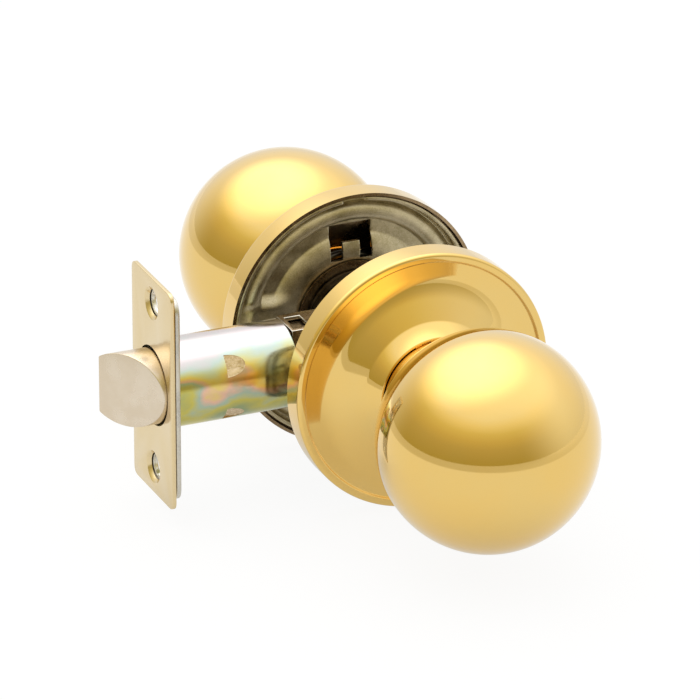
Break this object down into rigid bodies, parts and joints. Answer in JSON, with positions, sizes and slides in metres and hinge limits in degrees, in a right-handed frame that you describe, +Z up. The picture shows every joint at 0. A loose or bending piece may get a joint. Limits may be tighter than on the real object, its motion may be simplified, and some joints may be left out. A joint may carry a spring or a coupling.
{
  "type": "door knob set",
  "caption": "Passage door knob set: round ball knobs on dished roses either side of the door, a square spindle, and a tubular spring latch with a beveled bolt and face plate.",
  "frame": {"origin": "the spindle axis at the door's middle plane", "axes": "+Y along the spindle from the outer knob to the inner knob, +Z up, -X towards the latch bolt"},
  "size_m": [0.1063, 0.1782, 0.0666],
  "materials": {
    "polished_brass": "mirror-polished brass plate, lacquered",
    "satin_brass": "pale satin brass plate, fine vertical brushing",
    "satin_nickel": "satin, fine cast grain",
    "yellow_zinc": "iridescent yellow zinc passivation",
    "zinc_bronze": "dull olive-bronze stamped steel",
    "bronze": "dark bronze-toned pressed steel",
    "zinc": "plain zinc plate",
    "spring_steel": "drawn spring wire, oiled"
  },
  "bodies": {
    "fixed_set": {"outer_rose": "polished_brass", "outer_plate": "zinc_bronze", "outer_spring": "spring_steel", "outer_washer": "bronze", "inner_rose": "polished_brass", "inner_plate": "zinc_bronze", "inner_spring": "spring_steel", "inner_washer": "bronze", "post_left": "zinc", "post_right": "zinc", "screw_left": "zinc", "screw_right": "zinc", "latch_faceplate": "satin_brass", "latch_backplate": "zinc", "latch_tube": "yellow_zinc", "latch_guide": "zinc", "latch_spring": "spring_steel", "latch_frame": "bronze"},
    "knobs": {"outer_knob": "polished_brass", "outer_shank": "bronze", "outer_clip": "spring_steel", "inner_knob": "polished_brass", "inner_shank": "bronze", "inner_clip": "spring_steel", "spindle": "zinc", "latch_cam": "zinc"},
    "retractor": {"latch_retractor": "bronze"},
    "bolt": {"latch_bolt": "satin_nickel", "latch_drawbar": "zinc"}
  },
  "joints": [
    {"name": "knob_turn", "type": "hinge", "parent": "fixed_set", "child": "knobs", "pos_m": [0, 0, 0], "axis": [0, 1, 0], "range_deg": [0, 65], "stiffness_Nm_per_rad": 0.5, "springref_deg": -17.19, "deforming": ["outer_spring", "inner_spring"]},
    {"name": "retractor_slide", "type": "slide", "parent": "fixed_set", "child": "retractor", "axis": [1, 0, 0], "range_m": [0, 0.0119]},
    {"name": "bolt_slide", "type": "slide", "parent": "fixed_set", "child": "bolt", "axis": [1, 0, 0], "range_m": [0, 0.0119], "deforming": ["latch_spring"]}
  ],
  "couplings": [
    {"joint": "retractor_slide", "follows": "knob_turn", "m_per_rad": 0.01048},
    {"joint": "bolt_slide", "follows": "knob_turn", "m_per_rad": 0.01048}
  ]
}
